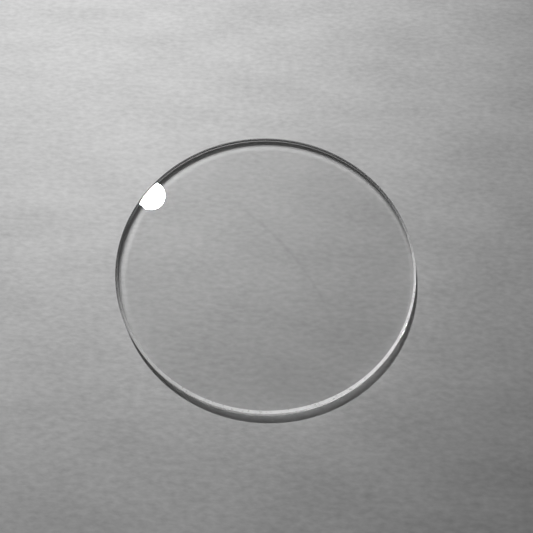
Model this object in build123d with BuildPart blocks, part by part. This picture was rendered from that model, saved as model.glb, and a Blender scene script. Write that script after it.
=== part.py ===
"""A flat round watch crystal: one disc of clear mineral glass with two polished faces,
a straight ground rim and a narrow bevel round each face.

Units are millimetres. The disc lies flat: its underside is on Z = 0, +Z points out of
the watch towards the wearer, and the origin is the centre of the underside."""

import os

from build123d import *

# Sizes of the glass
crystal_diameter = 38.0
crystal_thickness = 1.4
# The outer bevel, round the face that the wearer touches, at about 30 degrees to it
top_bevel_width = 0.34
top_bevel_height = 0.20
# The inner bevel, a narrow one that only breaks the edge round the dial's side
under_bevel_width = 0.05
under_bevel_height = 0.05

PARTS = "parts"
os.makedirs(PARTS, exist_ok=True)

# The crystal, turned in one go from half of its section: up the axis, out along the top
# face, down over the outer bevel and the rim, and back along the underside
rim_radius = crystal_diameter / 2
top_face_radius = rim_radius - top_bevel_width
under_face_radius = rim_radius - under_bevel_width
rim_top = crystal_thickness - top_bevel_height

with BuildPart() as crystal:
    with BuildSketch(Plane.XZ):
        with BuildLine():
            Polyline(
                (0, 0),
                (0, crystal_thickness),
                (top_face_radius, crystal_thickness),
                (rim_radius, rim_top),
                (rim_radius, under_bevel_height),
                (under_face_radius, 0),
                close=True,
            )
        make_face()
    revolve(axis=Axis.Z)
crystal.part.label = "crystal"
export_step(crystal.part, PARTS + "/crystal.step")
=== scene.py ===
"""A flat round watch crystal lying on a pale bench under one small lamp: the clear disc with
its polished faces and its finely ground rim and bevels, the bench, the light and the camera."""

import math

import bpy
import numpy as np
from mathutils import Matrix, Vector


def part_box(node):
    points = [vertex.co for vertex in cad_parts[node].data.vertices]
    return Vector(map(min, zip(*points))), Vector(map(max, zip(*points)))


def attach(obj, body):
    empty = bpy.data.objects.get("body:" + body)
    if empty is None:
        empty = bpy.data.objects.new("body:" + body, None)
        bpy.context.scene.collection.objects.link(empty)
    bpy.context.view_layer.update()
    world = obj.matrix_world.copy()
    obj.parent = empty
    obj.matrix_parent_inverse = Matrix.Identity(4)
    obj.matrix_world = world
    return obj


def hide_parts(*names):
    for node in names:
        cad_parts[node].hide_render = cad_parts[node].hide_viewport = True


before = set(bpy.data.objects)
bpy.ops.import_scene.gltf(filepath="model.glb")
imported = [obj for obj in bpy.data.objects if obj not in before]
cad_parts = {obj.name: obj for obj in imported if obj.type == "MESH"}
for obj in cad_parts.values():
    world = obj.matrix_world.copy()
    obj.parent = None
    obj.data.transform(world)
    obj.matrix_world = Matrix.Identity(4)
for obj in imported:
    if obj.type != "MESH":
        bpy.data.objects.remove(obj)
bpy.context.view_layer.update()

# The watch crystal. A disc of clear mineral glass, cut round from polished sheet. Its rim is
# ground on a fine wheel, and so is the bevel round its outer face. A much narrower bevel breaks
# the edge of its inner face, so that it doesn't chip when it is pressed into its gasket.
crystal_low, crystal_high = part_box("crystal")
RIM_RADIUS = (crystal_high.x - crystal_low.x) / 2
THICKNESS = crystal_high.z - crystal_low.z
OUTER_BEVEL_WIDTH = 0.00034
OUTER_BEVEL_HEIGHT = 0.00020
INNER_BEVEL = 0.00005
ARRIS_RADIUS = 0.00001
ARRIS_STEPS = 4
SEGMENTS = 512
FACE_RINGS = (0.25, 0.5, 0.75, 0.95)


def rounded_section(corners, radius, steps):
    """Points and outward normals of an outline in (radius, height) whose inner corners are
    rounded. Each corner gets an arc that touches both of its sides: its centre lies on the
    bisector, at radius over the cosine of half the turn, and its normals swing evenly from
    the one side's to the other's."""
    points = [corners[0]]
    normals = [side_normal(corners[0], corners[1])]
    for before, corner, after in zip(corners, corners[1:], corners[2:]):
        first = side_normal(before, corner)
        second = side_normal(corner, after)
        bisector = first + second
        bisector /= np.linalg.norm(bisector)
        centre = np.array(corner) - bisector * radius / (bisector @ first)
        turn = math.acos(np.clip(first @ second, -1, 1))
        for share in np.linspace(0, 1, steps + 1):
            normal = math.sin((1 - share) * turn) * first + math.sin(share * turn) * second
            normal /= math.sin(turn)
            points.append(centre + radius * normal)
            normals.append(normal)
    points.append(corners[-1])
    normals.append(side_normal(corners[-2], corners[-1]))
    return np.array(points), np.array(normals)


def side_normal(start, end):
    """Unit normal on the left of the way from start to end: outward where the outline goes
    out along the top, down the rim and back along the underside."""
    along = np.array(end) - np.array(start)
    return np.array([-along[1], along[0]]) / np.linalg.norm(along)


def turned_mesh(name, section, normals, segments):
    """Surface of revolution about Z: the point of section number j at angle a is
    (r_j cos a, r_j sin a, z_j), and its normal is turned with it. Both ends of the section
    lie on the axis, and each is one point with a fan of triangles round it."""
    angle = np.linspace(0, 2 * math.pi, segments, endpoint=False)
    ray = np.stack([np.cos(angle), np.sin(angle), np.zeros(segments)], axis=1)
    up = np.array([0.0, 0.0, 1.0])
    rings = section[1:-1, 0, None, None] * ray + section[1:-1, 1, None, None] * up
    ring_normals = normals[1:-1, 0, None, None] * ray + normals[1:-1, 1, None, None] * up
    poles = [section[0, 1] * up, section[-1, 1] * up]
    points = np.concatenate([rings.reshape(-1, 3), poles])
    point_normals = np.concatenate([ring_normals.reshape(-1, 3), [up, -up]])
    count = len(rings)
    here = np.arange(segments)
    beyond = (here + 1) % segments
    faces = []
    for ring in range(count - 1):
        upper = ring * segments
        lower = upper + segments
        faces += np.stack([upper + here, lower + here, lower + beyond, upper + beyond], axis=1).tolist()
    top_pole = count * segments
    last = (count - 1) * segments
    faces += np.stack([np.full(segments, top_pole), here, beyond], axis=1).tolist()
    faces += np.stack([np.full(segments, top_pole + 1), last + beyond, last + here], axis=1).tolist()
    mesh = bpy.data.meshes.new(name)
    mesh.from_pydata(points.tolist(), [], faces)
    mesh.polygons.foreach_set("use_smooth", np.ones(len(mesh.polygons), bool))
    mesh.normals_split_custom_set_from_vertices(point_normals.tolist())
    mesh.update()
    return mesh


top_face_radius = RIM_RADIUS - OUTER_BEVEL_WIDTH
under_face_radius = RIM_RADIUS - INNER_BEVEL
corners = [
    (0, THICKNESS),
    (top_face_radius, THICKNESS),
    (RIM_RADIUS, THICKNESS - OUTER_BEVEL_HEIGHT),
    (RIM_RADIUS, INNER_BEVEL),
    (under_face_radius, 0),
    (0, 0),
]
section, section_normals = rounded_section(corners, ARRIS_RADIUS, ARRIS_STEPS)
top_rings = np.array([(share * top_face_radius, THICKNESS) for share in FACE_RINGS])
under_rings = np.array([(share * under_face_radius, 0) for share in reversed(FACE_RINGS)])
section = np.concatenate([section[:1], top_rings, section[1:-1], under_rings, section[-1:]])
section_normals = np.concatenate(
    [
        section_normals[:1],
        np.tile((0, 1), (len(top_rings), 1)),
        section_normals[1:-1],
        np.tile((0, -1), (len(under_rings), 1)),
        section_normals[-1:],
    ]
)
crystal_mesh = turned_mesh("crystal_glass", section, section_normals, SEGMENTS)
crystal = bpy.data.objects.new("crystal_glass", crystal_mesh)
bpy.context.scene.collection.objects.link(crystal)


class Wire:
    """One output socket in a shader. Python's operators on it add Math nodes."""

    def __init__(self, net, socket):
        self.net = net
        self.socket = socket

    def __add__(self, other):
        return self.net.math("ADD", self, other)

    def __radd__(self, other):
        return self.net.math("ADD", other, self)

    def __sub__(self, other):
        return self.net.math("SUBTRACT", self, other)

    def __rsub__(self, other):
        return self.net.math("SUBTRACT", other, self)

    def __mul__(self, other):
        return self.net.math("MULTIPLY", self, other)

    def __rmul__(self, other):
        return self.net.math("MULTIPLY", other, self)

    def __truediv__(self, other):
        return self.net.math("DIVIDE", self, other)

    def __pow__(self, other):
        return self.net.math("POWER", self, other)


class Net:
    """The shader nodes of one material or of the world."""

    def __init__(self, owner):
        owner.use_nodes = True
        self.tree = owner.node_tree
        self.tree.nodes.clear()

    def add(self, kind, settings=None, inputs=None, out=0):
        """Adds a node of that kind and gives the wire of its output out. Settings are set
        first, then the sockets, by name or number, from plain values or from wires."""
        node = self.tree.nodes.new(kind)
        for name, value in (settings or {}).items():
            setattr(node, name, value)
        for name, value in (inputs or {}).items():
            if isinstance(value, Wire):
                self.tree.links.new(value.socket, node.inputs[name])
            else:
                node.inputs[name].default_value = value
        return Wire(self, node.outputs[out])

    def math(self, operation, *terms):
        """Adds a Math node of that operation on plain values or wires."""
        return self.add("ShaderNodeMath", {"operation": operation}, dict(enumerate(terms)))

    def finish(self, kind, surface):
        """Ends the tree: wires surface to the output node of that kind."""
        output = self.tree.nodes.new(kind)
        self.tree.links.new(surface.socket, output.inputs["Surface"])


NOISE_MEAN = 0.5
GLASS_IOR = 1.52
GLASS_TINT = 0.985
FACE_PASS = 0.91
WALL_ROUGHNESS = 0.25
BEVEL_ROUGHNESS = 0.3
GRIND_SCALE = 3500
GRIND_DETAIL = 3.0
GRIND_CONTRAST = 0.6
GRIND_DEPTH = 0.000006
WALL_LOSS = 0.25
SMEAR_SCALE = 260
SMEAR_DETAIL = 4.0
SMEAR_DIMMING = 0.04
WIPE_CENTRE = (-0.0233, -0.0203)
WIPE_RADIUS = 0.0340
WIPE_HALF_WIDTH = 0.00040
WIPE_ENDS = (-0.0080, 0.0095)
WIPE_FADE = 0.004
WIPE_DIMMING = 0.14
PENUMBRA = 0.00042
PENUMBRA_SHIFT = 0.00008
EDGE_LIGHT = 0.3
EDGE_LIGHT_INSET = 0.00078
EDGE_LIGHT_WIDTH = (0.00038, 0.00010)
EDGE_LIGHT_SIDE = (0.4, -0.4)
WALL_LEAK = 0.35
LAMP_PLACE = (-0.0870, 0.1790, 0.2850)


def clamped(wire, least=0, most=1):
    """The share of the way from least to most that the wire has come, kept from 0 to 1."""
    limits = {0: wire, 1: least, 2: most, 3: 0.0, 4: 1.0}
    return wire.net.add("ShaderNodeMapRange", {"clamp": True}, limits)


def crystal_material():
    """Clear mineral glass. Past the edge of each polished face the surface is ground, with
    uneven grinding marks, and the faces have faint smears and the arc of one wipe.

    A path tracer can't aim at a lamp through glass, so shadow rays pass straight through the
    faces. The underside is open to them only where the lamp's bent light lands: inside the
    outer face's edge, moved away from the lamp by thickness * tan(angle inside the glass).
    Light that enters by the bevel on the lamp's side is bent further in. It softens that edge
    and adds a paler line inside it. Rays that the bench scatters see the faces as open, and
    on the side away from the lamp they see the bevel, and in part the wall, as glass."""
    material = bpy.data.materials.new("mineral_glass")
    net = Net(material)
    place = net.add("ShaderNodeTexCoord", out="Object")
    x, y, z = (net.add("ShaderNodeSeparateXYZ", {}, {0: place}, out=axis) for axis in "XYZ")
    reach = (x * x + y * y) ** 0.5
    upper = net.math("GREATER_THAN", z, THICKNESS / 2)
    face_edge = under_face_radius + upper * (top_face_radius - under_face_radius)
    ground = net.math("GREATER_THAN", reach, face_edge)
    outer = net.math("GREATER_THAN", z, THICKNESS - OUTER_BEVEL_HEIGHT) * ground
    wall = ground - outer

    grind_inputs = {"Vector": place, "Scale": GRIND_SCALE, "Detail": GRIND_DETAIL}
    grind = net.add("ShaderNodeTexNoise", {}, grind_inputs) - NOISE_MEAN
    unevenness = 1 + GRIND_CONTRAST * grind
    roughness = (wall * WALL_ROUGHNESS + outer * BEVEL_ROUGHNESS) * unevenness
    ridges = net.add("ShaderNodeBump", {}, {"Height": grind * ground, "Distance": GRIND_DEPTH})
    smear_inputs = {"Vector": place, "Scale": SMEAR_SCALE, "Detail": SMEAR_DETAIL}
    smear = net.add("ShaderNodeTexNoise", {}, smear_inputs)
    wipe_reach = ((x - WIPE_CENTRE[0]) ** 2 + (y - WIPE_CENTRE[1]) ** 2) ** 0.5
    off_wipe = net.math("ABSOLUTE", wipe_reach - WIPE_RADIUS)
    wipe = upper * clamped(off_wipe, WIPE_HALF_WIDTH, 0)
    wipe = wipe * clamped(y, WIPE_ENDS[0], WIPE_ENDS[0] + WIPE_FADE)
    wipe = wipe * clamped(y, WIPE_ENDS[1], WIPE_ENDS[1] - WIPE_FADE)
    tint = (GLASS_TINT - SMEAR_DIMMING * smear - WIPE_DIMMING * wipe) * (1 - WALL_LOSS * wall)

    lamp_reach = math.hypot(LAMP_PLACE[0], LAMP_PLACE[1])
    lamp_sine = lamp_reach / math.dist(LAMP_PLACE, (0, 0, 0)) / GLASS_IOR
    shift = THICKNESS * lamp_sine / math.sqrt(1 - lamp_sine**2)
    entry_x = x + shift * LAMP_PLACE[0] / lamp_reach
    entry_y = y + shift * LAMP_PLACE[1] / lamp_reach
    entry = (entry_x * entry_x + entry_y * entry_y) ** 0.5
    away = (x * LAMP_PLACE[0] + y * LAMP_PLACE[1]) / (-lamp_reach * RIM_RADIUS)
    lit_radius = top_face_radius + PENUMBRA_SHIFT
    lit = clamped(entry, lit_radius + PENUMBRA / 2, lit_radius - PENUMBRA / 2)
    off_edge_light = net.math("ABSOLUTE", entry - (RIM_RADIUS - EDGE_LIGHT_INSET))
    edge_light = clamped(off_edge_light, EDGE_LIGHT_WIDTH[0], EDGE_LIGHT_WIDTH[1])
    edge_light = edge_light * clamped(away, EDGE_LIGHT_SIDE[0], EDGE_LIGHT_SIDE[1])
    lit = lit + EDGE_LIGHT * edge_light
    opening = (outer + (1 - ground) * (upper + (1 - upper) * lit)) / (1 + EDGE_LIGHT)
    leak = (outer + wall * WALL_LEAK) * clamped(away)

    glass = net.add(
        "ShaderNodeBsdfPrincipled",
        {},
        {
            "Base Color": net.add("ShaderNodeCombineColor", {}, {0: tint, 1: tint, 2: tint}),
            "Roughness": roughness,
            "IOR": GLASS_IOR,
            "Transmission Weight": 1.0,
            "Normal": ridges,
        },
    )
    clear = net.add("ShaderNodeBsdfTransparent", {}, {"Color": (FACE_PASS, FACE_PASS, FACE_PASS, 1)})
    most = FACE_PASS * (1 + EDGE_LIGHT)
    clearest = net.add("ShaderNodeBsdfTransparent", {}, {"Color": (most, most, most, 1)})
    for_shadows = net.add("ShaderNodeMixShader", {}, {0: opening, 1: glass, 2: clearest})
    for_bench = net.add("ShaderNodeMixShader", {}, {0: leak, 1: clear, 2: glass})
    diffuse_ray = net.add("ShaderNodeLightPath", out="Is Diffuse Ray")
    shadow_ray = net.add("ShaderNodeLightPath", out="Is Shadow Ray")
    shader = net.add("ShaderNodeMixShader", {}, {0: diffuse_ray, 1: glass, 2: for_bench})
    shader = net.add("ShaderNodeMixShader", {}, {0: shadow_ray, 1: shader, 2: for_shadows})
    net.finish("ShaderNodeOutputMaterial", shader)
    return material


crystal.data.materials.append(crystal_material())
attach(crystal, "root")
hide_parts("crystal")

# The bench. A plain pale sheet a hair below the glass, which is not part of the object. Its
# face is finely brushed along X, with faint clouds that are drawn out the same way.
BENCH_HALF = 1.5
BENCH_DROP = 0.00001
BENCH_GREY = 0.43
BENCH_ROUGHNESS = 0.6
NOISE_DETAIL = 3.0
BRUSH_SCALES = (950, 1900)
BRUSH_CONTRAST = 0.5
BRUSH_DEPTH = 0.00003
CLOUD_SCALES = (80, 190)
CLOUD_CONTRAST = 0.38
FADE_CENTRE_Y = 0.012
BENCH_FADE = (0.058, 0.08)
BACKDROP = 0.2
WHITE = (1, 1, 1, 1)
bench_mesh = bpy.data.meshes.new("bench")
bench_mesh.from_pydata(
    [
        (-BENCH_HALF, -BENCH_HALF, -BENCH_DROP),
        (BENCH_HALF, -BENCH_HALF, -BENCH_DROP),
        (BENCH_HALF, BENCH_HALF, -BENCH_DROP),
        (-BENCH_HALF, BENCH_HALF, -BENCH_DROP),
    ],
    [],
    [(0, 1, 2, 3)],
)
bench = bpy.data.objects.new("bench", bench_mesh)
bpy.context.scene.collection.objects.link(bench)


def seen_directly(net):
    """1 for rays that show a thing itself, in the open, in a mirror or through glass."""
    kinds = ("Is Camera Ray", "Is Glossy Ray", "Is Transmission Ray")
    camera_ray, glossy_ray, bent_ray = (net.add("ShaderNodeLightPath", out=kind) for kind in kinds)
    return net.math("MAXIMUM", net.math("MAXIMUM", camera_ray, glossy_ray), bent_ray)


def drawn_out_noise(net, x, y, scales):
    """Noise on (x, y) with a scale of its own along each."""
    place = net.add("ShaderNodeCombineXYZ", {}, {0: x * scales[0], 1: y * scales[1]})
    inputs = {"Vector": place, "Scale": 1.0, "Detail": NOISE_DETAIL}
    return net.add("ShaderNodeTexNoise", {}, inputs)


def bench_material():
    """Matt pale grey with fine streaks along X and very faint clouds. Far from the glass,
    where the lamp's beam ends, it is seen to fade into the backdrop. The circle of the fade
    has its centre a little beyond the glass, like the picture."""
    material = bpy.data.materials.new("bench_grey")
    net = Net(material)
    place = net.add("ShaderNodeTexCoord", out="Object")
    x, y = (net.add("ShaderNodeSeparateXYZ", {}, {0: place}, out=axis) for axis in "XY")
    streaks = drawn_out_noise(net, x, y, BRUSH_SCALES)
    clouds = drawn_out_noise(net, x, y, CLOUD_SCALES)
    brushing = BRUSH_CONTRAST * (streaks - NOISE_MEAN)
    grey = BENCH_GREY * (1 + brushing + CLOUD_CONTRAST * (clouds - NOISE_MEAN))
    paint = net.add(
        "ShaderNodeBsdfPrincipled",
        {},
        {
            "Base Color": net.add("ShaderNodeCombineColor", {}, {0: grey, 1: grey, 2: grey}),
            "Roughness": BENCH_ROUGHNESS,
            "Normal": net.add("ShaderNodeBump", {}, {"Height": streaks, "Distance": BRUSH_DEPTH}),
        },
    )
    reach = (x * x + (y - FADE_CENTRE_Y) ** 2) ** 0.5
    faded = clamped(reach, BENCH_FADE[0], BENCH_FADE[1]) * seen_directly(net)
    backdrop = net.add("ShaderNodeEmission", {}, {"Color": WHITE, "Strength": BACKDROP})
    shader = net.add("ShaderNodeMixShader", {}, {0: faded, 1: paint, 2: backdrop})
    net.finish("ShaderNodeOutputMaterial", shader)
    return material


bench_mesh.materials.append(bench_material())

# The light. One small round lamp beyond the glass and to its left, whose beam is strongest
# beyond the glass, and an even soft light from all round. LAMP_SHARE is the lamp's part of
# the light by which a level white face would look just white.
LAMP_RADIUS = 0.0100
LAMP_SHARE = 0.95
BEAM_AIM = (-0.042, 0.066, 0)
BEAM_ANGLE = math.radians(45)


def spot(name, energy, radius, place, aim, angle):
    """Adds a round lamp with a soft-edged beam of that angle, and gives its object."""
    data = bpy.data.lights.new(name, "SPOT")
    data.energy = energy
    data.shadow_soft_size = radius
    data.spot_size = angle
    data.spot_blend = 1
    lamp = bpy.data.objects.new(name, data)
    lamp.location = place
    lamp.rotation_euler = (Vector(aim) - Vector(place)).to_track_quat("-Z", "Y").to_euler()
    bpy.context.scene.collection.objects.link(lamp)
    return lamp


lamp_distance = math.dist(LAMP_PLACE, (0, 0, 0))
lamp_slope = LAMP_PLACE[2] / lamp_distance
lamp_energy = LAMP_SHARE * 4 * math.pi**2 * lamp_distance**2 / lamp_slope
spot("lamp", lamp_energy, LAMP_RADIUS, LAMP_PLACE, BEAM_AIM, BEAM_ANGLE)

# The lamp's reflection in the underside. It lights only the crystal, where the rim and bevel are
# away from the lamp, and the bench is no obstacle to it. It is so deep that its rays are as steep
# as the lamp's are in glass. Only aimed rays find it, so that the faces don't mirror it.
REFLECTION_SHARE = 1.2
REFLECTION_AIM = (0.0095, -0.0165, 0.0013)
REFLECTION_ANGLE = math.radians(4.5)
deepening = math.sqrt(GLASS_IOR**2 - 1 + lamp_slope**2) / lamp_slope
reflection = spot(
    "lamp_in_underside",
    lamp_energy * REFLECTION_SHARE,
    LAMP_RADIUS,
    (LAMP_PLACE[0], LAMP_PLACE[1], -LAMP_PLACE[2] * deepening),
    REFLECTION_AIM,
    REFLECTION_ANGLE,
)
reflection.data.cycles.use_multiple_importance_sampling = False
lit_from_inside = bpy.data.collections.new("lit_from_inside")
lit_from_inside.objects.link(crystal)
reflection.light_linking.receiver_collection = lit_from_inside
no_obstacle = bpy.data.collections.new("no_obstacle_from_inside")
no_obstacle.objects.link(bench)
no_obstacle.collection_objects[0].light_linking.link_state = "EXCLUDE"
reflection.light_linking.blocker_collection = no_obstacle


def world_light():
    """An even soft light, and the paler backdrop that is seen behind everything."""
    world = bpy.data.worlds.new("world")
    net = Net(world)
    strength = 1 - LAMP_SHARE + seen_directly(net) * (BACKDROP - 1 + LAMP_SHARE)
    light = net.add("ShaderNodeBackground", {}, {"Color": WHITE, "Strength": strength})
    net.finish("ShaderNodeOutputWorld", light)
    return world


bpy.context.scene.world = world_light()

# The camera, close over the glass as in the photograph. It is leant back from the glass's axis
# and rolled a little, and its picture is shifted so that the glass lies where it does there.
CAMERA_DISTANCE = 0.06967
CAMERA_ZENITH = math.radians(24.10)
CAMERA_ROLL = math.radians(1.98)
FOCAL_PIXELS = 539.6
PICTURE_SIDE = 533
ORIGIN_PIXEL = (266.05, 264.56)
SENSOR = 36.0
CLIP = (0.001, 10)
camera_data = bpy.data.cameras.new("camera")
camera_data.sensor_width = SENSOR
camera_data.lens = FOCAL_PIXELS / PICTURE_SIDE * SENSOR
camera_data.shift_x = (PICTURE_SIDE / 2 - ORIGIN_PIXEL[0]) / PICTURE_SIDE
camera_data.shift_y = (ORIGIN_PIXEL[1] - PICTURE_SIDE / 2) / PICTURE_SIDE
camera_data.clip_start = CLIP[0]
camera_data.clip_end = CLIP[1]
camera = bpy.data.objects.new("camera", camera_data)
camera_back = -math.sin(CAMERA_ZENITH) * CAMERA_DISTANCE
camera.location = (0, camera_back, math.cos(CAMERA_ZENITH) * CAMERA_DISTANCE)
camera.rotation_mode = "XYZ"
camera.rotation_euler = (CAMERA_ZENITH, 0, 0)
camera.rotation_euler.rotate_axis("Z", CAMERA_ROLL)
bpy.context.scene.collection.objects.link(camera)
bpy.context.scene.camera = camera

# Light that the edges hold turns back inside the glass dozens of times. The few paths that
# find the lamp through a ground edge are held back, or they show as white dots.
BOUNCES = 48
BRIGHTEST_PATH = 2
scene = bpy.context.scene
scene.view_settings.view_transform = "Standard"
scene.cycles.sample_clamp_indirect = BRIGHTEST_PATH
scene.cycles.max_bounces = BOUNCES
scene.cycles.glossy_bounces = BOUNCES
scene.cycles.transmission_bounces = BOUNCES
